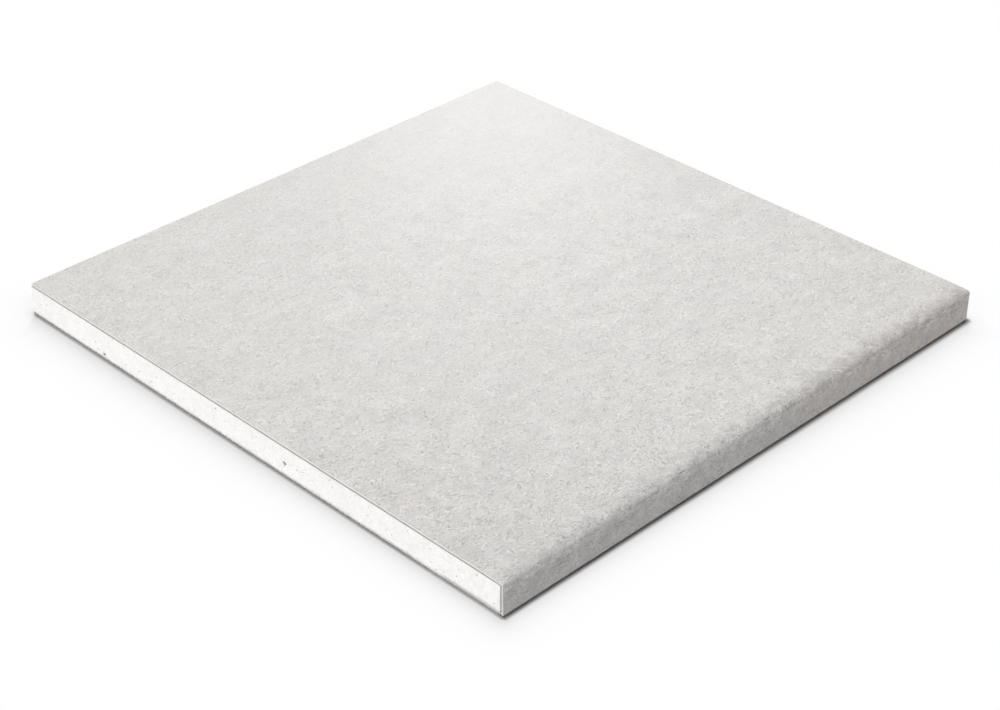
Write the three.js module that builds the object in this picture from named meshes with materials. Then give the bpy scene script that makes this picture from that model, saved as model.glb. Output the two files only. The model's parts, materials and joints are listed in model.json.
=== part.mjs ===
// Gypsum wallboard with one paper-bound long edge: a square piece cut from a full sheet.
// Units are millimetres and +Z is up. The board lies on its back with its face up. The bound edge is
// at +X and runs along Y. The other three edges are cut, so core and papers end flush there.
// The origin is under the middle of the board, on the surface that it lies on.
import * as THREE from "three";

// Driving dimensions
const board_width = 240; // X, from the cut edge to the bound edge
const board_length = 235; // Y, along the bound edge
const board_thickness = 12.5; // Z
const face_paper_thickness = 0.8;
const back_paper_thickness = 0.4;
const upper_fold_radius = 1.6; // outside radius of the paper's fold beside the face
const lower_fold_radius = 0.3; // outside radius of its fold under the board, which is pressed crisp
const core_upper_radius = 0.8; // the core's rounding inside the upper fold
const core_lower_radius = 0.2; // the core's rounding inside the lower fold
const shoulder_width = 8; // strip beside the upper fold where the face eases down
const shoulder_drop = 0.15; // how far the face has eased down where that fold begins
const flap_width = 25; // face paper turned under the board, from the bound edge
const back_paper_setback = 1.5; // bound edge to the edge of the back paper
const arc_facets = 12;

const cut_edge_x = -board_width / 2;
const bound_edge_x = board_width / 2;
const flap_end_x = bound_edge_x - flap_width;

// The face eases down on an arc of large radius, which is level where it leaves the flat face.
const shoulder_radius = (shoulder_width ** 2 + shoulder_drop ** 2) / (2 * shoulder_drop);
const shoulder_x = bound_edge_x - upper_fold_radius - shoulder_width;
const shoulder_z = board_thickness - shoulder_radius;

// Section of the wrapped paper's outer side, or of a layer that lies `inset` below it and has its
// own radii in the folds: across the face, over the shoulder, round both folds of the bound edge
// and back along the flap. Its x is the board's X and its y is the board's Z.
function wrap_section(inset, upper_radius, lower_radius) {
  const side_x = bound_edge_x - inset;
  const centre_distance = shoulder_radius - inset - upper_radius;
  const shoulder_angle = Math.asin((side_x - upper_radius - shoulder_x) / centre_distance);
  const upper_fold_z = shoulder_z + centre_distance * Math.cos(shoulder_angle);
  const lower_fold_z = back_paper_thickness + inset + lower_radius;
  const [face, shoulder_end, side, back] = [Math.PI / 2, Math.PI / 2 - shoulder_angle, 0, -Math.PI / 2];

  const arc = (x, z, radius, from, to) =>
    new THREE.ArcCurve(x, z, radius, from, to, true).getPoints(arc_facets);
  const shoulder = arc(shoulder_x, shoulder_z, shoulder_radius - inset, face, shoulder_end);
  const upper_fold = arc(side_x - upper_radius, upper_fold_z, upper_radius, shoulder_end, side);
  const lower_fold = arc(side_x - lower_radius, lower_fold_z, lower_radius, side, back);
  return [
    new THREE.Vector2(cut_edge_x, board_thickness - inset),
    ...shoulder,
    ...upper_fold.slice(1), // its first point ends the shoulder
    ...lower_fold,
    new THREE.Vector2(flap_end_x, back_paper_thickness + inset),
  ];
}

// A section drawn in X and Z, run along the whole board.
function run_along_board(name, outline, colour, roughness) {
  const geometry = new THREE.ExtrudeGeometry(new THREE.Shape(outline), {
    depth: board_length,
    bevelEnabled: false,
  });
  const material = new THREE.MeshStandardMaterial({ color: colour, roughness, metalness: 0 });
  const mesh = new THREE.Mesh(geometry, material);
  mesh.name = name;
  mesh.rotation.x = Math.PI / 2;
  mesh.position.y = board_length / 2;
  return mesh;
}

const paper_outside = wrap_section(0, upper_fold_radius, lower_fold_radius);
const paper_inside = wrap_section(face_paper_thickness, core_upper_radius, core_lower_radius);

// Face paper: one sheet over the face, round the bound edge and under the board as a flap.
const face_paper = run_along_board(
  "face_paper",
  [...paper_outside, ...paper_inside.toReversed()],
  0xd9d7d3,
  0.9,
);

// Gypsum core: fills the wrap and has the flap pressed into its back, so the back stays flat.
const gypsum_core = run_along_board(
  "gypsum_core",
  [
    ...paper_inside,
    new THREE.Vector2(flap_end_x, back_paper_thickness),
    new THREE.Vector2(cut_edge_x, back_paper_thickness),
  ],
  0xf8f6f2,
  0.95,
);

// Back paper: flat, over the core and the flap, almost to the lower fold.
const back_paper_edge_x = bound_edge_x - back_paper_setback;
const back_paper = run_along_board(
  "back_paper",
  [
    new THREE.Vector2(cut_edge_x, 0),
    new THREE.Vector2(back_paper_edge_x, 0),
    new THREE.Vector2(back_paper_edge_x, back_paper_thickness),
    new THREE.Vector2(cut_edge_x, back_paper_thickness),
  ],
  0xa9a49b,
  0.9,
);

const drywall_sheet = new THREE.Group();
drywall_sheet.add(gypsum_core, face_paper, back_paper);

export default drywall_sheet;
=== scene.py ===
# %% [markdown]
# # A square piece of gypsum wallboard
# The board is three things bonded together: a cast gypsum core, one sheet of light grey face paper
# that wraps round the bound long edge, and one sheet of darker paper on the back. The frame holds
# plain solids of all three at their real size. This lesson gives each of them its real surface:
# fibrous paper, sawn gypsum with its air voids, and the thin layered edges of the cut paper.

import json
import math
import random
from collections import namedtuple

import bmesh
import bpy
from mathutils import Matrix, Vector, noise

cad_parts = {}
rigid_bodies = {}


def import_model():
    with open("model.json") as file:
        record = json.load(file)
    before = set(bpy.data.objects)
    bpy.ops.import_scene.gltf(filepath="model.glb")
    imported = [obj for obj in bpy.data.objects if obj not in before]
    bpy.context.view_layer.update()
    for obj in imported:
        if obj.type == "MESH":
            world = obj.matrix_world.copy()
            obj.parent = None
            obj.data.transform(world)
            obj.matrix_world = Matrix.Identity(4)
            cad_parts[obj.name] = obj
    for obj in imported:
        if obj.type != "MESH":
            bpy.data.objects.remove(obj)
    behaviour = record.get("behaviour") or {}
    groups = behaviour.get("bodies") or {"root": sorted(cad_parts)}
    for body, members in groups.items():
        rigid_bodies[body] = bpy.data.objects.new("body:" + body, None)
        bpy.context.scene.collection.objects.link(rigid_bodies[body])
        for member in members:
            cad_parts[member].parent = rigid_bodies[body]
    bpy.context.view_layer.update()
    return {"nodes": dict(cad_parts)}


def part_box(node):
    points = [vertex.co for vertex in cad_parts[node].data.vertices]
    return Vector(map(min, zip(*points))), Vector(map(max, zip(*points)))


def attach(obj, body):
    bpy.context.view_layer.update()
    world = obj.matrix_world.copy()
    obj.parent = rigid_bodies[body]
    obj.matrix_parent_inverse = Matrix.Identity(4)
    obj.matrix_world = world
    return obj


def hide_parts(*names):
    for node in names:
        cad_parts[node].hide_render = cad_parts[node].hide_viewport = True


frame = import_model()
print("nodes in the frame:", sorted(frame["nodes"]))

# %% [markdown]
# ## Sizes
# Blender works in metres here, so a millimetre gets a name. The outer sizes are read from the
# frame, and only what its boxes can't tell is written down: the radii of the folds, outside and
# inside, the strip beside the fold where the face eases down, and the flap's width.

# %% Sizes of the board
MM = 0.001

core_low, core_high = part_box("gypsum_core")
face_low, face_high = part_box("face_paper")
back_low, back_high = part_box("back_paper")

board_width = face_high.x - face_low.x
board_length = face_high.y - face_low.y
face_paper_thickness = face_high.z - core_high.z
back_paper_thickness = back_high.z
upper_fold_radius = 1.6 * MM
lower_fold_radius = 0.3 * MM
core_upper_radius = 0.8 * MM
core_lower_radius = 0.2 * MM
shoulder_width = 8 * MM
shoulder_drop = 0.15 * MM
flap_width = 25 * MM

print(f"board {board_width:.4f} x {board_length:.4f} x {face_high.z:.4f} m")
print(f"papers {face_paper_thickness / MM:.2f} and {back_paper_thickness / MM:.2f} mm thick")

# %% [markdown]
# ## Writing shaders as sums
# A finish is mostly arithmetic on patterns. Wiring each Math node by hand hides that, so one small
# class wraps a socket and lets `a * 2 + b` add the nodes. Numbers use Math nodes, and vectors and
# colours use Vector Math nodes, because a Math node would turn a colour grey.

# %% A socket that can be added, multiplied and compared
class Wire:
    """The output of a node. Arithmetic on wires adds the nodes that work it out."""

    def __init__(self, finish, socket):
        self.finish = finish
        self.socket = socket

    def _maths(self, operation, first, second=None):
        wires = [value for value in (first, second) if isinstance(value, Wire)]
        vector = any(wire.socket.type in ("VECTOR", "RGBA") for wire in wires)
        kind = "ShaderNodeVectorMath" if vector else "ShaderNodeMath"
        inputs = {0: first} if second is None else {0: first, 1: second}
        return self.finish.node(kind, {"operation": operation}, inputs)

    def __add__(self, other):
        return self._maths("ADD", self, other)

    __radd__ = __add__

    def __sub__(self, other):
        return self._maths("SUBTRACT", self, other)

    def __rsub__(self, other):
        return self._maths("SUBTRACT", other, self)

    def __mul__(self, other):
        return self._maths("MULTIPLY", self, other)

    __rmul__ = __mul__

    def __pow__(self, other):
        return self._maths("POWER", self, other)

    def __rpow__(self, other):
        return self._maths("POWER", other, self)

    def __abs__(self):
        return self._maths("ABSOLUTE", self)

    def at_least(self, other):
        return self._maths("MAXIMUM", self, other)

    def cosine(self):
        return self._maths("COSINE", self)

    def sine(self):
        return self._maths("SINE", self)

    def scaled(self, factor):
        """This colour or vector times one number."""
        inputs = {0: self, "Scale": factor}
        return self.finish.node("ShaderNodeVectorMath", {"operation": "SCALE"}, inputs)

    def smooth(self, low, high, to_low=0.0, to_high=1.0):
        """Goes smoothly from to_low, where this is at low, to to_high, where it is at high."""
        settings = {"interpolation_type": "SMOOTHSTEP"}
        ends = {"From Min": low, "From Max": high, "To Min": to_low, "To Max": to_high}
        return self.finish.node("ShaderNodeMapRange", settings, {"Value": self, **ends}, "Result")

    def beside(self, output):
        """Another output of the same node."""
        return Wire(self.finish, self.socket.node.outputs[output])

    def parts(self):
        """The three numbers of a vector or colour."""
        kind = "ShaderNodeSeparateColor" if self.socket.type == "RGBA" else "ShaderNodeSeparateXYZ"
        first = self.finish.node(kind, {}, {0: self})
        return first, first.beside(1), first.beside(2)


print("wires ready")

# %% [markdown]
# A finish starts with an empty node tree. One method adds any kind of node, and a few more name
# what comes back often: mixing two colours or shaders, a cloud pattern, and the closing shader.
# Paper and gypsum are both dry and dull, so only their colour and a fine relief change over them.

# %% A material whose nodes are added by calls
# The Mix node has sockets for every kind of value, and these are for colours.
MIX_FACTOR, MIX_FIRST, MIX_SECOND, MIX_RESULT = 0, 6, 7, 2


class Finish:
    """A material, or the world, whose nodes are added by calls."""

    def __init__(self, owner):
        owner.use_nodes = True
        self.owner = owner
        self.tree = owner.node_tree
        self.tree.nodes.clear()

    def node(self, kind, settings, inputs, output=0):
        """Adds one node: its settings first, then the values or wires of its sockets."""
        node = self.tree.nodes.new(kind)
        for name, value in settings.items():
            setattr(node, name, value)
        for name, value in inputs.items():
            socket = node.inputs[name]
            if isinstance(value, Wire):
                self.tree.links.new(value.socket, socket)
            elif socket.type == "RGBA" and len(value) == 3:
                socket.default_value = (*value, 1.0)
            elif socket.type == "VECTOR" and isinstance(value, float):
                socket.default_value = (value, value, value)
            else:
                socket.default_value = value
        return Wire(self, node.outputs[output]) if len(node.outputs) else None

    def mix(self, factor, first, second):
        """Mixes two colours, from first at factor 0 to second at factor 1."""
        inputs = {MIX_FACTOR: factor, MIX_FIRST: first, MIX_SECOND: second}
        return self.node("ShaderNodeMix", {"data_type": "RGBA"}, inputs, MIX_RESULT)

    def either(self, factor, first, second):
        """Mixes two shaders in the same way."""
        return self.node("ShaderNodeMixShader", {}, {0: factor, 1: first, 2: second})

    def noise(self, place, size, detail=2.0, roughness=0.5, output="Fac"):
        """A cloud pattern whose blobs are about `size` across, in the units of `place`."""
        inputs = {"Vector": place, "Scale": 1.0 / size, "Detail": detail, "Roughness": roughness}
        return self.node("ShaderNodeTexNoise", {}, inputs, output)

    def clouds(self, place, size, detail=2.0, roughness=0.5):
        """The same pattern, about 0 on average."""
        return self.noise(place, size, detail, roughness) - 0.5

    def dry_surface(self, tone, lightness, height, relief, depth, roughness, gloss):
        """Closes a material: a tone made lighter or darker, with a fine relief. A height of 1 is
        worth depth metres, and relief is the share of it that shows."""
        bump = {"Strength": relief, "Distance": depth, "Height": height}
        inputs = {
            "Base Color": tone.scaled(lightness),
            "Roughness": roughness,
            "Normal": self.node("ShaderNodeBump", {}, bump),
            "Specular IOR Level": gloss,
        }
        surface = self.node("ShaderNodeBsdfPrincipled", {}, inputs, "BSDF")
        self.node("ShaderNodeOutputMaterial", {}, {"Surface": surface})
        print(self.owner.name, "has", len(self.tree.nodes), "nodes")
        return self.owner


def new_finish(name):
    return Finish(bpy.data.materials.new(name))


print("finishes ready")

# %% [markdown]
# ## Strands
# Board paper is made of recycled fibres: short, slightly curled strands that lie in all directions.
# A noise pattern has no strands in it, and a stretched one has them all lying one way. So each
# cell of a Voronoi pattern gets one: the point's place is taken from the cell's middle, turned by
# the cell's own random angle, bent a little, and compared with the strand's width and length.

# %% One curled strand in each cell
def strands(finish, place, cell, length, width, share=0.7, bend=0.35, shift=0.0):
    """1 on a strand and 0 off it. The sizes are in the units of place, share is the part of the
    cells that have a strand, bend is how much they curl, and shift moves the whole pattern."""
    place = place * (1.0 / cell) + (shift, -shift, 0.0)
    inputs = {"Vector": place, "Scale": 1.0}
    middle = finish.node("ShaderNodeTexVoronoi", {"voronoi_dimensions": "2D"}, inputs, "Position")
    turn, curl, pick = middle.beside("Color").parts()
    x, y, _ = (place - middle).parts()
    angle = turn * (2 * math.pi)
    cosine, sine = angle.cosine(), angle.sine()
    along = x * cosine + y * sine
    across = y * cosine - x * sine
    across += (curl - 0.5) * bend * 4.0 * along * along
    body = abs(across).smooth(0.5 * width / cell, 0.15 * width / cell)
    ends = abs(along).smooth(0.5 * length / cell, 0.3 * length / cell)
    return body * ends * pick.smooth(1.0 - share, 1.0 - 0.6 * share)


print("strand pattern ready")

# %% [markdown]
# ## The camera
# It looks down at the board from beyond the corner between the bound edge and a cut end, from some
# way off through a long lens, so that the edges stay nearly parallel. Its turn and drop are set
# first. Then it backs away from the point that it aims at.

# %% Camera
view_turn = math.radians(45.216)
view_drop = math.radians(33.013)
view_distance = 785.3 * MM
aim_right = 0.21 * MM
aim_up = -13.82 * MM


def add_object(name, data):
    made = bpy.data.objects.new(name, data)
    bpy.context.scene.collection.objects.link(made)
    return made


camera_data = bpy.data.cameras.new("camera")
camera_data.sensor_width = 36.0
camera_data.lens = 78.364
camera = add_object("camera", camera_data)
bpy.context.scene.camera = camera
camera.rotation_euler = (math.pi / 2 - view_drop, 0, view_turn)
to_right, to_top, to_back = camera.rotation_euler.to_matrix().col
camera.location = aim_right * to_right + aim_up * to_top + view_distance * to_back
print("camera at", [round(c, 3) for c in camera.location])

# %% [markdown]
# ## A finish for the face paper
# Face paper is a matt, pale grey sheet. From close by it is mottled by clouds of denser pulp, by a
# fine grain, by pale and dark strands and by a few specks. Each is a layer that makes the colour a
# little lighter or darker, and strands and grain also stand up as a fine relief. The felting isn't
# even: in some patches the strands lie open and in others they are pressed smooth. Each layer is
# taken from another place, so that no two lie alike.
# The pattern follows the flat sheet, so that it bends round the edge with the paper: the mesh
# carries each point's place on the unrolled sheet, in millimetres, as the attribute "sheet". Its
# first number is 0 in the middle of the upper fold, negative on the face and positive on the side.

# %% Pulp
PRESSED_SMOOTH = 0.55
LYING_OPEN = 1.35


def sheet_place(finish):
    return finish.node("ShaderNodeAttribute", {"attribute_name": "sheet"}, {}, "Vector")


def object_place(finish):
    """The place on the object in millimetres."""
    return finish.node("ShaderNodeTexCoord", {}, {}, "Object") * (1.0 / MM)


def pulp(finish, place):
    """Lightness and height of board paper, both about 0 on average."""
    clouds = finish.clouds(place, 16.0, detail=1.0)
    small_clouds = finish.clouds(place + (31.0, 7.0, 0.0), 5.0, detail=3.0, roughness=0.6)
    grain = finish.clouds(place + (3.0, 57.0, 0.0), 1.1, detail=3.0, roughness=0.75)
    patches = finish.noise(place + (71.0, 13.0, 0.0), 4.0, detail=1.0)
    felting = patches.smooth(0.35, 0.65, PRESSED_SMOOTH, LYING_OPEN)
    pale = strands(finish, place, cell=2.3, length=3.2, width=0.48)
    pale += strands(finish, place, cell=1.5, length=2.1, width=0.38, shift=11.3)
    dark = strands(finish, place, cell=2.0, length=2.8, width=0.44, shift=5.7)
    dark += strands(finish, place, cell=1.3, length=1.8, width=0.36, shift=23.1)
    specks = strands(finish, place, cell=5.0, length=0.9, width=0.60, share=0.45, bend=0.0,
                     shift=2.2)
    fine = grain * 0.50 + pale * 0.125 - dark * 0.177
    lightness = clouds * 0.12 + small_clouds * 0.28 + fine * felting - specks * 0.22
    height = grain * 0.8 + pale * 0.4 - dark * 0.32
    return lightness, height * felting


print("pulp ready")

# %% [markdown]
# Paper is never one tone all over. This sheet is slightly warmer towards the near corner, yellower
# towards the left and right ones, and bluer or pinker on its folded side. Very faint clouds of
# olive and mauve and of blue and straw lie over it. Each is a tint close to white that the tone
# is multiplied by.

# %% Tones of the face paper
# About what x - y comes to at the near corner and x + y at the right one, in millimetres.
CORNER = 237.0
FAR_TONE = (0.6465, 0.6395, 0.6305)
NEAR_TONE = (0.657, 0.639, 0.621)
OLIVE = (0.996, 1.003, 1.0)
MAUVE = (1.004, 0.997, 1.0)
BLUISH = (0.999, 0.999, 1.009)
STRAW = (1.001, 1.001, 0.991)
NO_TINT = (1.0, 1.0, 1.0)
AGED_LEFT = (1.002, 1.001, 0.988)
AGED_RIGHT = (1.005, 0.998, 0.988)
SIDE_AT_NEAR_END = (1.000, 1.000, 1.014)
SIDE_AT_FAR_END = (1.018, 0.987, 0.984)


def face_tone(finish, place, x, y, past_fold):
    """The paper's own colour, by the place on the board and the way past the fold."""
    mauve, straw, _ = finish.noise(place + (9.0, 9.0, 0.0), 7.0, output="Color").parts()
    side = finish.mix(y.smooth(-20.0, 90.0), SIDE_AT_NEAR_END, SIDE_AT_FAR_END)
    aged = finish.mix((x + y).smooth(-100.0, 100.0), AGED_LEFT, AGED_RIGHT)
    tone = finish.mix((x - y).smooth(-CORNER, CORNER), FAR_TONE, NEAR_TONE)
    tone *= finish.mix(mauve.smooth(0.2, 0.8), OLIVE, MAUVE)
    tone *= finish.mix(past_fold.smooth(-6.0, 1.0), NO_TINT, side)
    tone *= finish.mix(straw.smooth(0.3, 0.7), BLUISH, STRAW)
    return tone * finish.mix(abs(x + y).smooth(0.0, CORNER), NO_TINT, aged)


print("face paper goes from", FAR_TONE, "to", NEAR_TONE)

# %% [markdown]
# Towards the far corner the sheet came off the rolls smoother, so its grain is faint there and
# strongest at the near corner. Bending the damp sheet lifted the fibres round the fold, and lower
# on the side they were pressed smooth again. So the pulp's strength is a sum of soft steps, each
# with its place in millimetres and what it adds.

# %% Strength of the pulp
SIDE_STRENGTH_PER_MM = 0.0018


def pulp_strength(x, y, past_fold):
    """How strongly the pulp shows, by the place on the board and the way past the fold."""
    to_near_corner = x - y
    to_right_corner = x + y
    strength = to_near_corner.smooth(-235.0, 5.0, 0.32, 0.88)
    strength += abs(to_right_corner).smooth(20.0, 110.0, 0.0, 0.07)
    strength += to_near_corner.smooth(60.0, 200.0, 0.0, 0.36)
    strength += to_right_corner.smooth(10.0, 80.0, 0.0, 0.12)
    lifted = past_fold.smooth(-5.0, -1.0, 0.0, 0.18) + past_fold.smooth(0.5, 2.0, 0.0, 0.20)
    lifted -= past_fold.smooth(3.5, 5.5, 0.0, 0.38)
    lifted += past_fold.smooth(-2.0, 2.0) * y * SIDE_STRENGTH_PER_MM
    return strength * (lifted + 1.0)


print("the pulp on the side changes by", SIDE_STRENGTH_PER_MM, "per millimetre")

# %% [markdown]
# Across the fold the colour takes painted shade and light, as a rounder fold would be lit. A band
# of painted shade begins a few millimetres before the fold, a painted highlight lies just past its
# middle, and the side below takes painted shade again, with a faint painted highlight along the
# lower fold. The band is weaker at both cut ends, and the highlight is stronger at the far one.
# Clouds push these steps to and fro, so that none has a straight rim, and others make blotches.

# %% Painted shade and highlight at the fold
# Painted shade over the fold and on the side below, and a painted highlight just past the fold.
SHADE_AT_FOLD = 0.24
SHADE_PER_MM = 0.0006
SHADE_ON_SIDE = 0.18
FOLD_HIGHLIGHT = 0.13
HIGHLIGHT_AT_FAR_END = 0.11
BLOTCHES = 0.50
DRIFT = 0.10


def fold_shading(finish, place, y, past_fold, strength):
    """Painted shade and highlight across the fold, with blotches and drift, as a factor on
    lightness.
    """
    lumps = finish.clouds(place + (5.0, 5.0, 0.0), 5.5)
    far_end = y.smooth(70.0, 90.0)
    band = past_fold + y * 0.005 - far_end * 1.1 + lumps * 11.0
    bent = past_fold + lumps * (far_end * 3.0 + 3.0)
    at_fold = y * SHADE_PER_MM - y.smooth(103.0, 116.0, 0.0, 0.09)
    at_fold = at_fold - y.smooth(-112.0, -117.0, 0.0, 0.07) + SHADE_AT_FOLD
    painted_highlight = far_end * HIGHLIGHT_AT_FAR_END + FOLD_HIGHLIGHT
    # Painted shade before the fold and on the side, and a painted highlight just past its middle.
    painted_shade = band.smooth(-7.5, 0.0) * at_fold - bent.smooth(0.6, 1.9) * painted_highlight
    painted_shade += bent.smooth(2.2, 3.6) * (painted_highlight - at_fold + SHADE_ON_SIDE)
    # A faint painted highlight along the lower fold.
    painted_shade -= past_fold.smooth(9.2, 10.4, 0.0, 0.02)
    near_fold = past_fold.smooth(-5.0, 0.5) - past_fold.smooth(5.0, 9.0, 0.0, 0.6)
    blotches = finish.clouds(place + (0.0, 83.0, 0.0), 6.0, roughness=0.6)
    drift = finish.clouds(place + (50.0, 0.0, 0.0), 13.0)
    return 1.0 - painted_shade + blotches * near_fold * BLOTCHES + drift * strength * DRIFT


print("painted_fold_shade is", SHADE_AT_FOLD, "beside the fold and", SHADE_ON_SIDE, "on the side")

# %% [markdown]
# The finish puts these together. More of the fibres lie the way that the sheet ran through the
# paper machine, which is along the bound edge. So the pulp is a little narrower across that edge
# and a little longer along it.

# %% Face paper
MACHINE_DIRECTION = (1.25, 0.80, 1.0)


def face_paper_finish():
    finish = new_finish("face_paper")
    place = sheet_place(finish)
    past_fold, _, _ = place.parts()
    x, y, _ = object_place(finish).parts()
    tone = face_tone(finish, place, x, y, past_fold)
    strength = pulp_strength(x, y, past_fold)
    # Painted shade and highlight across the fold, with blotches and drift.
    shading_at_fold = fold_shading(finish, place, y, past_fold, strength)
    lightness, height = pulp(finish, place * MACHINE_DIRECTION)
    lightness = (lightness * strength + 1.0) * shading_at_fold
    return finish.dry_surface(tone, lightness, height, relief=0.7, depth=0.05 * MM,
                              roughness=0.9, gloss=0.3)


face_paper_material = face_paper_finish()

# %% [markdown]
# ## A finish for the paper's cut edge
# Board paper is made of several plies. Where a knife or saw has gone through, the plies show as
# thin lines along the cut, and the loosened fibres make it look lighter and softer than the face.
# The third number of "sheet" goes below 0 through the sheet, so a pattern stretched along the cut
# gives the plies. The innermost ply is stained where it was glued to the core, and the outermost
# half millimetre at the bound edge is a little darker. Under the board the cut edge of the flap
# takes painted shade, darker downwards, from about a millimetre inside the bound edge.

# %% Cut edge of the face paper
CUT_PAPER_TONE = (0.800, 0.785, 0.765)
# Painted shade on the flap's cut edge, darker downwards.
FLAP_EDGE_SHADE_TONE = (0.380, 0.373, 0.362)
PLY_STRETCH = (0.12, 0.12, 4.0)


def cut_paper_finish():
    finish = new_finish("face_paper_cut_edge")
    place = sheet_place(finish)
    _, _, below_face = place.parts()
    x, _, z = object_place(finish).parts()
    inboard = face_high.x / MM - x
    plies = finish.clouds(place * PLY_STRETCH, 1.0, detail=1.0)
    fluff = finish.clouds(place, 0.7, detail=3.0, roughness=0.7)
    glued = below_face.smooth(-0.50, -0.78, 0.0, 0.35) * z.smooth(1.0, 2.0)
    # The innermost ply is darker, and so is the outermost half millimetre at the bound edge.
    darkening = glued + inboard.smooth(0.8, 0.5, 0.0, 0.18)
    # Painted shade on the flap's cut edge, darker downwards.
    flap_foot_shade = inboard.smooth(0.1, 1.0) * (z + fluff).smooth(1.6, 0.2)
    lightness = (plies * 0.16 + fluff * 0.22 + 1.0) * (1.0 - darkening)
    tone = finish.mix(flap_foot_shade, CUT_PAPER_TONE, FLAP_EDGE_SHADE_TONE)
    return finish.dry_surface(tone, lightness, fluff + plies, relief=0.6, depth=0.08 * MM,
                              roughness=0.95, gloss=0.2)


cut_paper_material = cut_paper_finish()

# %% [markdown]
# ## A finish for the gypsum
# The core is cast gypsum, a chalky white with tiny air bubbles. A sawn face has a powdery bloom
# with a faint mottle. Dust and shadow gather in its hollows: the bubbles that the saw opened, and
# the narrow groove beside the face paper. The mesh says how deep in a hollow each point lies, as
# the attribute "hollow", and the finish darkens it there. The bubbles too small to model are dots
# here, one to some of the cells of a Voronoi pattern. Where the core meets the back paper it is
# crushed, and an uneven strip there takes painted shade, darker downwards, as shade falls where the
# board meets the floor.

# %% Gypsum
GYPSUM_TONE = (0.930, 0.911, 0.899)
# Painted shade along the foot of the cut faces, darker downwards.
GYPSUM_FOOT_SHADE = (0.450, 0.445, 0.432)
BUBBLE_CELLS_PER_MM = 0.80
HOLLOW_SHADE = 0.95


def small_bubbles(finish, place):
    """1 in the middle of a dot and 0 off it."""
    inputs = {"Vector": place, "Scale": BUBBLE_CELLS_PER_MM}
    from_middle = finish.node("ShaderNodeTexVoronoi", {}, inputs, "Distance")
    pick, size, _ = from_middle.beside("Color").parts()
    return (from_middle - size * 0.11).smooth(0.12, 0.02) * pick.smooth(0.5, 1.0)


def shaded_foot_strip(finish, place):
    """1 in the strip along the back paper that takes painted shade, darker downwards. The strip is
    higher towards the bound edge, and more so over the flap."""
    x, _, z = place.parts()
    ragged = finish.clouds(place * (1.0, 1.0, 0.4), 1.8, detail=3.0, roughness=0.6) * 1.6
    return (z + ragged - x * 0.0023 - x.smooth(92.0, 97.0, 0.0, 0.6)).smooth(1.5, -0.8)


def gypsum_finish():
    finish = new_finish("gypsum_core")
    place = object_place(finish)
    cloudy = finish.clouds(place, 8.0, detail=1.0)
    mottle = finish.clouds(place + (0.0, 29.0, 0.0), 2.4, detail=3.0, roughness=0.6)
    powder = finish.clouds(place + (17.0, 0.0, 5.0), 0.6, detail=3.0, roughness=0.7)
    bubbles = small_bubbles(finish, place)
    hollow = finish.node("ShaderNodeAttribute", {"attribute_name": "hollow"}, {}, "Fac")
    bloom = cloudy * 0.08 + mottle * 0.20 + powder * 0.42 - bubbles * 0.60 + 1.0
    lightness = bloom * (1.0 - hollow * HOLLOW_SHADE)
    height = powder * 0.6 + mottle * 0.6 - bubbles * 1.5
    # Painted shade in the strip along the back paper.
    tone = finish.mix(shaded_foot_strip(finish, place), GYPSUM_TONE, GYPSUM_FOOT_SHADE)
    return finish.dry_surface(tone, lightness, height, relief=0.5, depth=0.08 * MM,
                              roughness=0.95, gloss=0.2)


gypsum_material = gypsum_finish()

# %% [markdown]
# ## A finish for the back paper
# The paper on the back is plain recycled stock, coarser and darker than the face. The same layers
# serve, with more contrast, on a grey-brown ground. The fuzz of its cut and slit rims is paler.

# %% Back paper
BACK_TONE = (0.380, 0.362, 0.330)
BACK_RIM_TONE = (0.680, 0.664, 0.640)
BACK_CONTRAST = 1.3
BACK_SHIFT = (400.0, 0.0, 0.0)


def back_paper_finish():
    finish = new_finish("back_paper")
    place = object_place(finish)
    _, _, z = place.parts()
    tone = finish.mix(z.smooth(0.02, 0.08), BACK_TONE, BACK_RIM_TONE)
    lightness, height = pulp(finish, place + BACK_SHIFT)
    lightness = lightness * BACK_CONTRAST + 1.0
    return finish.dry_surface(tone, lightness, height, relief=0.6, depth=0.06 * MM,
                              roughness=0.9, gloss=0.3)


back_paper_material = back_paper_finish()

# %% [markdown]
# ## Making a piece
# Each piece is a closed mesh in the place of the frame's solid. It takes its materials, stands for
# that solid and rides on the one body that this part has. Smooth noise makes its surfaces uneven.

# %% From a bmesh to a piece
SHARP_ANGLE = math.radians(40.0)


def smoothstep(value, low, high):
    share = min(1.0, max(0.0, (value - low) / (high - low)))
    return share * share * (3.0 - 2.0 * share)


def wobble(x, y, z, size):
    """Smooth noise from about -1 to 1 whose bumps are about `size` across."""
    return noise.noise(Vector((x, y, z)) / size)


def ripple(x, y, z, size):
    """The same, from about 0 to 1."""
    return 0.5 + 0.5 * wobble(x, y, z, size)


def make_piece(name, shape, materials, node):
    bmesh.ops.recalc_face_normals(shape, faces=shape.faces)
    for edge in shape.edges:
        edge.smooth = edge.calc_face_angle(0.0) < SHARP_ANGLE
    mesh = bpy.data.meshes.new(name)
    shape.to_mesh(mesh)
    shape.free()
    for material in materials:
        mesh.materials.append(material)
    piece = add_object(name, mesh)
    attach(piece, "root")
    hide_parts(node)
    mesh.calc_loop_triangles()
    print(name, "has", len(mesh.loop_triangles), "triangles")


# %% [markdown]
# Both papers are sheets with two layers of points, so they are closed in the same way, by faces
# over each layer and a row of faces along each rim.

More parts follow.
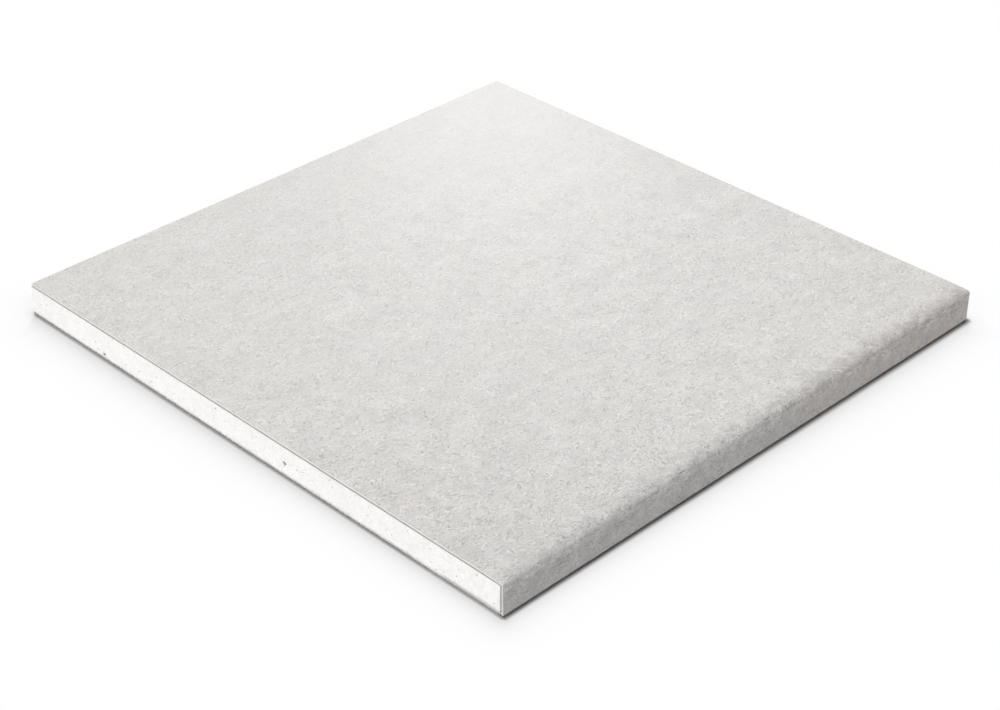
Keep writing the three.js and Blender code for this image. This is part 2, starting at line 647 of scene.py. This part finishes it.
# %% Closing a sheet
def close_sheet(shape, outer, inner, rim_material=0, smooth=False):
    """Faces over two layers of a sheet, given as rows of vertices, and along its four rims."""
    rows, last = len(outer) - 1, len(outer[0]) - 1

    def quad(corners, on_rim):
        face = shape.faces.new(corners)
        face.material_index = rim_material if on_rim else 0
        face.smooth = smooth and not on_rim

    for j in range(rows):
        for i in range(last):
            quad((outer[j][i], outer[j][i + 1], outer[j + 1][i + 1], outer[j + 1][i]), False)
            quad((inner[j][i], inner[j + 1][i], inner[j + 1][i + 1], inner[j][i + 1]), False)
        for i in (0, last):
            quad((outer[j][i], outer[j + 1][i], inner[j + 1][i], inner[j][i]), True)
    for i in range(last):
        for j in (0, rows):
            quad((outer[j][i], inner[j][i], inner[j][i + 1], outer[j][i + 1]), True)


print("sheet helper ready")

# %% [markdown]
# ## The face paper
# The board's one finished edge is made on the line: the face paper is folded down over the edge of
# the wet core, folded again under it and pressed into the core's back. So the sheet is drawn as a
# section that runs across the face, eases down over the shoulder, goes round both folds and back
# along the flap. The inner side is the same section moved in by the paper's thickness, with radii
# of its own. The stations are close together where the sheet bends and far apart on the face.

# %% Section of the wrapped sheet
NEAR_FOLD = 30 * MM
FACE_STEPS = 60
NEAR_FOLD_STEPS = 20
SHOULDER_STEPS = 10
FOLD_STEPS = 12
SIDE_STEPS = 12
LOWER_FOLD_STEPS = 6
FLAP_STEPS = 12
FOLD_STATION = FACE_STEPS + NEAR_FOLD_STEPS + SHOULDER_STEPS + FOLD_STEPS // 2

flap_x = face_high.x - flap_width


def arc(x, z, radius, start, end, steps):
    """Stations round a centre, as (x, z, the angle that is outwards), without the first one."""
    for i in range(1, steps + 1):
        angle = start + (end - start) * i / steps
        yield x + radius * math.cos(angle), z + radius * math.sin(angle), angle


def straight(x0, z0, x1, z1, angle, steps):
    """Stations along a line, without the first one."""
    for i in range(1, steps + 1):
        yield x0 + (x1 - x0) * i / steps, z0 + (z1 - z0) * i / steps, angle


def wrap_section(inset, upper_radius, lower_radius):
    """(x, z, outward x, outward z) along the sheet's outer side, or along a side that lies inset
    below it. Each has its own radii in the folds."""
    drop_radius = (shoulder_width**2 + shoulder_drop**2) / (2 * shoulder_drop)
    drop_x = face_high.x - upper_fold_radius - shoulder_width
    drop_z = face_high.z - drop_radius
    side_x = face_high.x - inset
    face_z = face_high.z - inset
    under_z = face_low.z + inset
    near_x = face_high.x - NEAR_FOLD
    upper_x = side_x - upper_radius
    lower_x = side_x - lower_radius
    lower_z = under_z + lower_radius
    reach = drop_radius - inset - upper_radius
    lean = math.asin((upper_x - drop_x) / reach)
    upper_z = drop_z + reach * math.cos(lean)
    face, side, under = math.pi / 2, 0.0, -math.pi / 2
    points = [(face_low.x, face_z, face)]
    points += straight(face_low.x, face_z, near_x, face_z, face, FACE_STEPS)
    points += straight(near_x, face_z, drop_x, face_z, face, NEAR_FOLD_STEPS)
    points += arc(drop_x, drop_z, drop_radius - inset, face, face - lean, SHOULDER_STEPS)
    points += arc(upper_x, upper_z, upper_radius, face - lean, side, FOLD_STEPS)
    points += straight(side_x, upper_z, side_x, lower_z, side, SIDE_STEPS)
    points += arc(lower_x, lower_z, lower_radius, side, under, LOWER_FOLD_STEPS)
    points += straight(lower_x, under_z, flap_x, under_z, under, FLAP_STEPS)
    return [(x, z, math.cos(angle), math.sin(angle)) for x, z, angle in points]


def ways_past_fold(section):
    """The way along the sheet from the middle of the upper fold to each station."""
    ways = [0.0]
    for (x0, z0, *_), (x1, z1, *_) in zip(section, section[1:]):
        ways.append(ways[-1] + math.dist((x0, z0), (x1, z1)))
    return [way - ways[FOLD_STATION] for way in ways]


ends = ways_past_fold(wrap_section(0.0, upper_fold_radius, lower_fold_radius))
print(f"the sheet is {(ends[-1] - ends[0]) / MM:.1f} mm wide, in {len(ends)} stations")

# %% [markdown]
# The upper fold is crisp at the front cut end and fairly sharp at the far one. In between, the
# damp paper took a softer and uneven bend, so each row of the sheet has its own radius. The face
# isn't quite flat either: it has low lumps, more so near the fold. All these moves go inwards, so
# the board keeps its size.

# %% Folds and lumps
CRISPEST_FOLD = 0.5 * MM
CRISPEST_BEND = 0.25 * MM
SOFTEST_FOLD = 3.0 * MM
LOWER_CREASE = 0.05 * MM
CRISP_AT_FRONT = 6 * MM
BEND_CRISP_AT_FRONT = 4 * MM
SHARP_AT_FAR_END = 7 * MM


def fold_radius_at(y):
    """Outside radius of the upper fold there."""
    soft = 0.65 + 0.5 * wobble(y, 0.0, 0.0, 11 * MM) + 0.2 * wobble(y, 0.0, 0.5, 5 * MM)
    soft = min(1.0, max(0.3, soft)) * smoothstep(y, face_low.y, face_low.y + CRISP_AT_FRONT)
    soft *= 1 - 0.6 * smoothstep(y, face_high.y - SHARP_AT_FAR_END, face_high.y)
    return CRISPEST_FOLD + (SOFTEST_FOLD - CRISPEST_FOLD) * soft


def bend_radius_at(y):
    """Inside radius of the upper fold there."""
    soft = smoothstep(y, face_low.y, face_low.y + BEND_CRISP_AT_FRONT)
    return CRISPEST_BEND + (core_upper_radius - CRISPEST_BEND) * soft


def face_lump(way, y):
    """How far the paper lies inside its ideal surface, at a way past the fold."""
    near = smoothstep(way, -25 * MM, -1 * MM) * (1 - smoothstep(way, 5 * MM, 9 * MM))
    near *= 1 - 0.85 * smoothstep(y, face_high.y - 32 * MM, face_high.y - 12 * MM)
    lump = ripple(way, y * 0.7, 0.2, 9 * MM)
    small_lump = ripple(way, y * 0.8, 0.7, 3.5 * MM)
    return (0.02 + 0.10 * near) * MM * lump + 0.05 * near * MM * small_lump


radii = [fold_radius_at(y * MM) / MM for y in range(-110, 111)]
print(f"between the ends the fold's radius goes from {min(radii):.1f} to {max(radii):.1f} mm")

# %% [markdown]
# The outer layer of points follows these folds and lumps, and the inner one is plain, because it
# lies on the core. The cut rims are a little ragged, and take the second material.

# %% Mesh of the wrapped sheet
X, Y, Z = 0, 1, 2
ROW_STEP = 1.0 * MM
RAGGED = 0.08
RAGGED_SIZE = 2.2 * MM


def sheet_row(shape, sheet, y, end, depth):
    """One row of points, depth below the paper's face. end is -1 or 1 at the cut ends, else 0."""
    outer_section = wrap_section(0.0, fold_radius_at(y), LOWER_CREASE)
    section = outer_section
    if depth:
        section = wrap_section(face_paper_thickness, bend_radius_at(y), core_lower_radius)
    row = []
    for (x, z, out_x, out_z), way in zip(section, ways_past_fold(outer_section)):
        inset = 0.0 if depth else face_lump(way, y)
        place = [x - out_x * inset, y, z - out_z * inset]
        if x == face_low.x:
            place[X] += ripple(y, z, depth * 2, RAGGED_SIZE) * RAGGED * MM
        if end:
            place[Y] -= end * ripple(x, z, y + depth * 2, RAGGED_SIZE) * RAGGED * MM
        vertex = shape.verts.new(place)
        vertex[sheet] = (way / MM, y / MM, -depth / MM)
        row.append(vertex)
    return row


def make_face_paper():
    shape = bmesh.new()
    sheet = shape.verts.layers.float_vector.new("sheet")
    rows = round(board_length / ROW_STEP)
    outer, inner = [], []
    for layer, depth in ((outer, 0.0), (inner, face_paper_thickness)):
        for j in range(rows + 1):
            y = face_low.y + board_length * j / rows
            end = -1 if j == 0 else int(j == rows)
            layer.append(sheet_row(shape, sheet, y, end, depth))
    close_sheet(shape, outer, inner, rim_material=1, smooth=True)
    make_piece("wrapped_face_paper", shape, [face_paper_material, cut_paper_material],
               "face_paper")


make_face_paper()

# %% [markdown]
# ## The gypsum core
# Three of the core's faces are cut and show. Each is a grid whose points can be moved inwards:
# beside the face paper the gypsum has crumbled into a narrow groove, along the back paper it is
# crushed, and air bubbles have left pits. A pit is given by its place and size, and by how long,
# slanted and dark it is.

# %% Pits
Pit = namedtuple("Pit", "along up radius depth stretch tilt shade")


def make_pits(seed, start, end, count, marked=()):
    """The marked pits, and count small ones anywhere on a cut face."""
    luck = random.Random(seed)
    pits = list(marked)
    for _ in range(count):
        radius = luck.uniform(0.13, 0.25) * MM
        along = luck.uniform(start + 2 * MM, end - 2 * MM)
        up = luck.uniform(core_low.z + 2.0 * MM, core_high.z - 1.2 * MM)
        depth = radius * luck.uniform(0.8, 1.5)
        stretch = luck.uniform(1.0, 1.8)
        tilt = luck.uniform(-1.0, 1.0)
        shade = luck.uniform(0.40, 1.0)
        pits.append(Pit(along, up, radius, depth, stretch, tilt, shade))
    return pits


large_pits = [
    Pit(-77.7 * MM, 1.8 * MM, 0.50 * MM, 0.8 * MM, stretch=1.7, tilt=-0.2, shade=1.0),
    Pit(20.1 * MM, 4.9 * MM, 0.48 * MM, 0.8 * MM, stretch=1.9, tilt=-0.5, shade=1.0),
]
front_pits = make_pits(3, core_low.x, core_high.x, 32, large_pits)
back_pits = make_pits(5, core_low.x, core_high.x, 34)
left_pits = make_pits(7, core_low.y, core_high.y, 34)
print("pits in front, at the back and left:", len(front_pits), len(back_pits), len(left_pits))

# %% [markdown]
# The groove, the crushed rim and the pits all come from one function of the place on a cut face.

# %% Crumbled edges
CRUMBLE_WIDTH = 0.6 * MM
CRUMBLE_DEPTH = 0.5 * MM
CRUMBLE_SHADE = 0.95
CRUSH_HEIGHT = 0.7 * MM
CRUSH_DEPTH = 0.2 * MM
CRUMB = 1.6 * MM
BROAD_CRUMB = 7.0 * MM


def crush(along, seed):
    """How far the core's lowest edge, and the back paper's rim under it, are crushed in."""
    rough = ripple(along, 0.0, seed, CRUMB)
    broad = ripple(along, 0.0, seed + 0.1, BROAD_CRUMB)
    return CRUSH_DEPTH * (0.6 + 0.3 * rough + 0.3 * broad)


def pit_at(pit, along, up):
    """Depth and shade of one pit at a place on the cut face."""
    across, rise = along - pit.along, up - pit.up
    reach = pit.radius * pit.stretch * 1.4
    if abs(across) >= reach or abs(rise) >= reach:
        return 0.0, 0.0
    long_way = (across * math.cos(pit.tilt) + rise * math.sin(pit.tilt)) / pit.stretch
    short_way = rise * math.cos(pit.tilt) - across * math.sin(pit.tilt)
    away = math.hypot(long_way, short_way) / pit.radius
    away *= 1.0 + 0.18 * wobble(along, up, pit.along, pit.radius)
    depth = pit.depth * (1 - smoothstep(away, 0.45, 1.05))
    return depth, pit.shade * (1 - smoothstep(away, 0.65, 1.05))


def recess(along, up, pits, seed, bound_edge):
    """How far a cut face has crumbled in at a place along it and a height, and how dark the hollow
    is there, from 0 to 1. The groove follows the bound edge too."""
    rough = ripple(along, up * 0.3, seed, CRUMB)
    broad = ripple(along, up * 0.3, seed + 0.1, BROAD_CRUMB)
    from_paper = min(core_high.z - up, bound_edge - along)
    groove = 1 - smoothstep(from_paper, 0.45 * CRUMBLE_WIDTH, CRUMBLE_WIDTH)
    crushed = 1 - smoothstep(up - core_low.z, 0.0, CRUSH_HEIGHT * (0.6 + 0.8 * broad))
    depth = CRUMBLE_DEPTH * (0.5 + 0.4 * rough + 0.3 * broad) * groove
    depth += crush(along, seed) * crushed
    shade = CRUMBLE_SHADE * (0.8 + 0.3 * rough) * groove
    for pit in pits:
        pit_depth, pit_shade = pit_at(pit, along, up)
        depth += pit_depth
        shade += pit_shade
    return depth, min(1.0, shade)


print(f"the groove is up to {CRUMBLE_DEPTH * 1.2 / MM:.1f} mm deep")

# %% [markdown]
# The three grids are finer beside the papers. They share the points at their common corners, by a
# table keyed by place. The sides that the papers hide are single faces, so the core is closed.

# %% Grids of the core
GRID_STEP = 1.0 * MM
GROOVE_STRIP = 1.0 * MM
CRUSHED_STRIP = 2.6 * MM
TOLERANCE = 0.01 * MM

flap_z = face_low.z + face_paper_thickness


def stations(start, *stretches):
    """Places from start on, even over each stretch, which is given as (its end, about a step)."""
    places = [start]
    for end, step in stretches:
        count = max(1, round((end - start) / step))
        places += [start + (end - start) * i / count for i in range(1, count + 1)]
        start = end
    return places


def core_top(x, z):
    """The height z, or lower where the core's top follows the shoulder of the paper."""
    past_shoulder = max(0.0, x - (core_high.x - shoulder_width))
    eased = past_shoulder**2 / shoulder_width**2 * shoulder_drop
    return z - eased * smoothstep(z, core_high.z - 1.2 * MM, core_high.z)


grid_x = stations(core_low.x, (flap_x, GRID_STEP), (core_high.x - GROOVE_STRIP, GRID_STEP),
                  (core_high.x, 0.2 * MM))
grid_y = stations(core_low.y, (core_high.y, GRID_STEP))
grid_z = stations(core_low.z, (flap_z, 0.27 * MM), (core_low.z + CRUSHED_STRIP, 0.45 * MM),
                  (core_high.z - GROOVE_STRIP, GRID_STEP), (core_high.z, 0.16 * MM))
print("grid of the core:", len(grid_x), "by", len(grid_y), "by", len(grid_z), "stations")

# %% Block of the core
def core_block():
    """The core with its three grids, before its cut faces are crumbled and pitted."""
    shape = bmesh.new()
    table = {}

    def vertex(x, y, z):
        key = tuple(round(c * 1e6) for c in (x, y, z))
        if key not in table:
            table[key] = shape.verts.new((x, y, z))
        return table[key]

    def hidden(section, left_z=None):
        """One face from the front cut end to the back one, over the (x, z) places of a section.
        It takes in the left grid's points at the height left_z."""
        ring = [(x, core_low.y, z) for x, z in section]
        ring += [(x, core_high.y, z) for x, z in reversed(section)]
        if left_z is not None:
            ring += [(core_low.x, y, left_z) for y in reversed(grid_y[1:-1])]
        shape.faces.new([vertex(*place) for place in ring])

    for y in (core_low.y, core_high.y):
        for x0, x1 in zip(grid_x, grid_x[1:]):
            for z0, z1 in zip(grid_z, grid_z[1:]):
                in_flap = x0 > flap_x - TOLERANCE and z1 < flap_z + TOLERANCE
                if not in_flap:
                    corners = [(x0, z0), (x1, z0), (x1, z1), (x0, z1)]
                    shape.faces.new([vertex(x, y, core_top(x, z)) for x, z in corners])
    for y0, y1 in zip(grid_y, grid_y[1:]):
        for z0, z1 in zip(grid_z, grid_z[1:]):
            corners = [(y0, z0), (y1, z0), (y1, z1), (y0, z1)]
            shape.faces.new([vertex(core_low.x, y, z) for y, z in corners])

    top, side = core_high.z, core_high.x
    hidden([(x, core_top(x, top)) for x in grid_x], top)
    hidden([(x, core_low.z) for x in grid_x if x < flap_x + TOLERANCE], core_low.z)
    hidden([(flap_x, z) for z in grid_z if z < flap_z + TOLERANCE])
    hidden([(x, flap_z) for x in grid_x if x > flap_x - TOLERANCE])
    hidden([(side, core_top(side, z)) for z in grid_z if z > flap_z - TOLERANCE])
    return shape


block = core_block()
print("block of the core:", len(block.faces), "faces")

# %% [markdown]
# Round each pit the grid is divided again, so that the pit comes out round. After that every point
# of a cut face is moved inwards by its recess, and the darkness of the hollow is kept with it. All
# moves are worked out before the first one is made, because points at a corner belong to two faces.

# %% Mesh of the core
CutFace = namedtuple("CutFace", "run rise deep level inwards bound_edge pits")
PIT_CUTS = 3
MOST_CELL_CORNERS = 8

cut_faces = [
    CutFace(X, Z, Y, core_low.y, 1, core_high.x, front_pits),
    CutFace(X, Z, Y, core_high.y, -1, core_high.x, back_pits),
    CutFace(Y, Z, X, core_low.x, 1, math.inf, left_pits),
]


def divide_round(shape, cut, pit):
    """Divides the cells of a cut face round one of its pits."""
    reach = pit.radius * pit.stretch + 0.6 * GRID_STEP
    edges = set()
    for cell in shape.faces:
        middle = cell.calc_center_median()
        on_cut_face = abs(middle[cut.deep] - cut.level) < TOLERANCE
        beside_pit = abs(middle[cut.run] - pit.along) < reach
        level_with_pit = abs(middle[cut.rise] - pit.up) < reach
        is_cell = len(cell.verts) <= MOST_CELL_CORNERS
        if is_cell and on_cut_face and beside_pit and level_with_pit:
            edges.update(cell.edges)
    bmesh.ops.subdivide_edges(shape, edges=list(edges), cuts=PIT_CUTS, use_grid_fill=True)


def make_core(shape):
    for cut in cut_faces:
        for pit in cut.pits:
            divide_round(shape, cut, pit)
    hollow = shape.verts.layers.float.new("hollow")
    moves = []
    for vert in shape.verts:
        move = Vector((0.0, 0.0, 0.0))
        for cut in cut_faces:
            if abs(vert.co[cut.deep] - cut.level) < TOLERANCE:
                along, up = vert.co[cut.run], vert.co[cut.rise]
                depth, shade = recess(along, up, cut.pits, cut.level, cut.bound_edge)
                move[cut.deep] += cut.inwards * depth
                vert[hollow] = max(vert[hollow], shade)
        moves.append(move)
    for vert, move in zip(shape.verts, moves):
        vert.co += move
    make_piece("cut_gypsum_core", shape, [gypsum_material], "gypsum_core")


make_core(block)

# %% [markdown]
# ## The back paper
# A flat sheet, glued over the core and the flap and stopping just short of the fold. Three of its
# rims are cut with the board. The fourth is its own slit edge, which wanders a little.

# %% Mesh of the back paper
BACK_STEP = 2.0 * MM
SLIT_WANDER = 0.5
SLIT_WANDER_SIZE = 12 * MM


def make_back_paper():
    shape = bmesh.new()
    across = stations(back_low.x, (back_high.x, BACK_STEP))
    along = stations(back_low.y, (back_high.y, BACK_STEP))

    def place(x, y, z):
        spot = Vector((x, y, z))
        if x == across[-1]:
            spot.x -= ripple(y, 0.0, 0.3, SLIT_WANDER_SIZE) * SLIT_WANDER * MM
        if x == across[0]:
            spot.x += crush(y, x)
        if y == along[0]:
            spot.y += crush(x, y)
        if y == along[-1]:
            spot.y -= crush(x, y)
        return spot

    def layer(z):
        return [[shape.verts.new(place(x, y, z)) for x in across] for y in along]

    close_sheet(shape, layer(back_low.z), layer(back_high.z))
    make_piece("back_paper_sheet", shape, [back_paper_material], "back_paper")


make_back_paper()

# %% [markdown]
# ## The floor
# The floor is a plain pale sheet. Light that only bounces finds it mid grey, so that not too much
# of it comes back up at the bound edge. Where it is seen directly, which Light Path tells, it shows
# the board's narrow shadow next to the board, lit for real but on a colour darkened there, so
# partly painted shadow. Over two or three millimetres that goes over into a soft grey halo, a
# painted shadow that fades to white. Both fade a little sooner towards the near corner, the halo
# also past the left and right corners, and the shadow past the left one.

# %% Floor
FLOOR_BOUNCE = (0.45, 0.45, 0.45)
# Painted shadow: the floor's colour next to the board, darker than white.
CONTACT_AT_FOLD = 0.33
CONTACT_AT_CUT = 0.39
CONTACT_PALER = 0.18
SHADOW_AT_FOLD = (0.30, 2.90)
SHADOW_AT_CUT = (0.45, 2.05)
# Painted shadow: the grey of the soft halo round the board.
HALO = (0.62, 0.62, 0.62)
HALO_FADE = 4.75
FLOOR_HALF = 4.0
WHITE = (1.0, 1.0, 1.0)


def seen_directly(finish):
    """1 where the camera, a mirror or glass looks, and 0 where light only bounces."""
    camera_ray = finish.node("ShaderNodeLightPath", {}, {}, "Is Camera Ray")
    glossy = camera_ray.beside("Is Glossy Ray")
    through = camera_ray.beside("Is Transmission Ray")
    return camera_ray.at_least(glossy).at_least(through)


def ways_from_board(x, y):
    """How far the floor is from the board, in millimetres, for the halo and for the shadow, and a
    number above 0 beside a cut end. Where something fades sooner, its way is longer."""
    beyond_x = (abs(x) - face_high.x / MM).at_least(0.0)
    beyond_y = (abs(y) - face_high.y / MM).at_least(0.0)
    away = (beyond_x * beyond_x + beyond_y * beyond_y) ** 0.5
    away = away * (x - y).smooth(60.0, 245.0, 1.0, 1.25)
    corner = (face_high.x + face_high.y) / MM
    past_corner = abs(x + y).smooth(corner - 0.5, corner + 2.5) * abs(x - y).smooth(18.0, 3.0)
    from_contact = away + past_corner * x.smooth(1.0, -1.0, 0.0, 4.0)
    return away + past_corner * (away * 0.5 + 2.9), from_contact, beyond_y * 2.0 - beyond_x


def floor_finish():
    finish = new_finish("floor")
    x, y, _ = object_place(finish).parts()
    away, from_contact, cut_side = ways_from_board(x, y)
    at_cut = cut_side.smooth(-0.3, 0.3)
    # Painted shadow next to the board, paler by the cut end near the near corner.
    contact = at_cut * (x - y).smooth(190.0, 245.0, 0.0, CONTACT_PALER)
    contact = contact + at_cut * (CONTACT_AT_CUT - CONTACT_AT_FOLD) + CONTACT_AT_FOLD
    at_fold = from_contact.smooth(*SHADOW_AT_FOLD)
    out_of_shadow = at_fold + at_cut * (from_contact.smooth(*SHADOW_AT_CUT) - at_fold)
    fade = 1.0 - math.e ** (away * (-1.0 / HALO_FADE))

    bounce = finish.node("ShaderNodeBsdfDiffuse", {}, {"Color": FLOOR_BOUNCE})
    shaded = finish.node("ShaderNodeBsdfDiffuse", {}, {"Color": contact})
    halo = finish.node("ShaderNodeEmission", {}, {"Color": HALO, "Strength": 1.0})
    plain = finish.node("ShaderNodeEmission", {}, {"Color": WHITE, "Strength": 1.0})
    pale = finish.either(fade, halo, plain)
    shown = finish.either(out_of_shadow, shaded, pale)
    surface = finish.either(seen_directly(finish), bounce, shown)
    finish.node("ShaderNodeOutputMaterial", {}, {"Surface": surface})
    return finish.owner


corners = [(-1, -1), (1, -1), (1, 1), (-1, 1)]
floor_places = [(x * FLOOR_HALF, y * FLOOR_HALF, 0) for x, y in corners]
floor_mesh = bpy.data.meshes.new("floor")
floor_mesh.from_pydata(floor_places, [], [(0, 1, 2, 3)])
floor_mesh.materials.append(floor_finish())
floor = add_object("floor", floor_mesh)
print("the floor is", 2 * FLOOR_HALF, "m wide")

# %% [markdown]
# ## The light
# A wide lamp stands high behind the far corner and casts the short shadow at the near edges. A
# second one hangs above the left corner. Two more stand low, one beyond the left corner and one
# beyond the near one, and light the board's edges. One spot above the board and one beyond the far
# corner make the face brightest at that corner. The rest is an even, pale surrounding. Together
# they come to about 1 on the face, so a colour shows about as it is written.

# %% Surroundings
SKY_LEVEL = 0.12


def sky_finish():
    world = bpy.data.worlds.new("surroundings")
    bpy.context.scene.world = world
    sky = Finish(world)
    light = sky.node("ShaderNodeBackground", {}, {"Color": WHITE, "Strength": SKY_LEVEL})
    seen = sky.node("ShaderNodeBackground", {}, {"Color": WHITE, "Strength": 1.0})
    surface = sky.either(seen_directly(sky), light, seen)
    sky.node("ShaderNodeOutputWorld", {}, {"Surface": surface})


sky_finish()
print("surroundings give", SKY_LEVEL, "of the light")

# %% Lamps
def add_lamp(name, kind, towards):
    """A lamp that shines from the direction `towards` to the middle of the board."""
    lamp = add_object(name, bpy.data.lights.new(name, kind))
    lamp.rotation_euler = towards.to_track_quat("Z", "Y").to_euler()
    return lamp


def wide_lamp(name, level, turn, height, spread):
    """A distant lamp. level is what it adds to a white face square on to it. turn goes from the
    front towards the left, and height is above the floor, both in degrees."""
    turn, height = math.radians(turn), math.radians(height)
    flat = math.cos(height)
    towards = Vector((-math.sin(turn) * flat, -math.cos(turn) * flat, math.sin(height)))
    lamp = add_lamp(name, "SUN", towards)
    lamp.data.energy = level * math.pi
    lamp.data.angle = math.radians(spread)


def spot_lamp(name, level, place, aim, cone, width):
    """A spot at a place that shines at a place on the face. level is what it adds to a white face
    there."""
    place, aim = Vector(place), Vector((*aim, face_high.z))
    beam = place - aim
    lamp = add_lamp(name, "SPOT", beam)
    lamp.location = place
    lamp.data.spot_size = math.radians(cone)
    lamp.data.spot_blend = 1.0
    lamp.data.shadow_soft_size = width / 2
    lamp.data.energy = level * 4 * math.pi**2 * beam.length_squared / beam.normalized().z


wide_lamp("lamp_behind_far_corner", level=0.42, turn=135, height=80, spread=14)
wide_lamp("lamp_above_left_corner", level=0.14, turn=45, height=75, spread=12)
wide_lamp("low_lamp_left", level=0.47, turn=45, height=8, spread=16)
wide_lamp("low_lamp_right", level=0.51, turn=-45, height=8, spread=16)
spot_lamp("spot_above_board", level=0.322, place=(-0.061, 0.042, 0.60), aim=(-0.061, 0.042),
          cone=70.5, width=0.10)
spot_lamp("spot_beyond_far_corner", level=0.185, place=(-0.286, 0.281, 0.231),
          aim=(-0.089, 0.087), cone=25.6, width=0.06)
bpy.context.scene.view_settings.view_transform = "Standard"
print("lamps:", sorted(o.name for o in bpy.context.scene.objects if o.type == "LIGHT"))
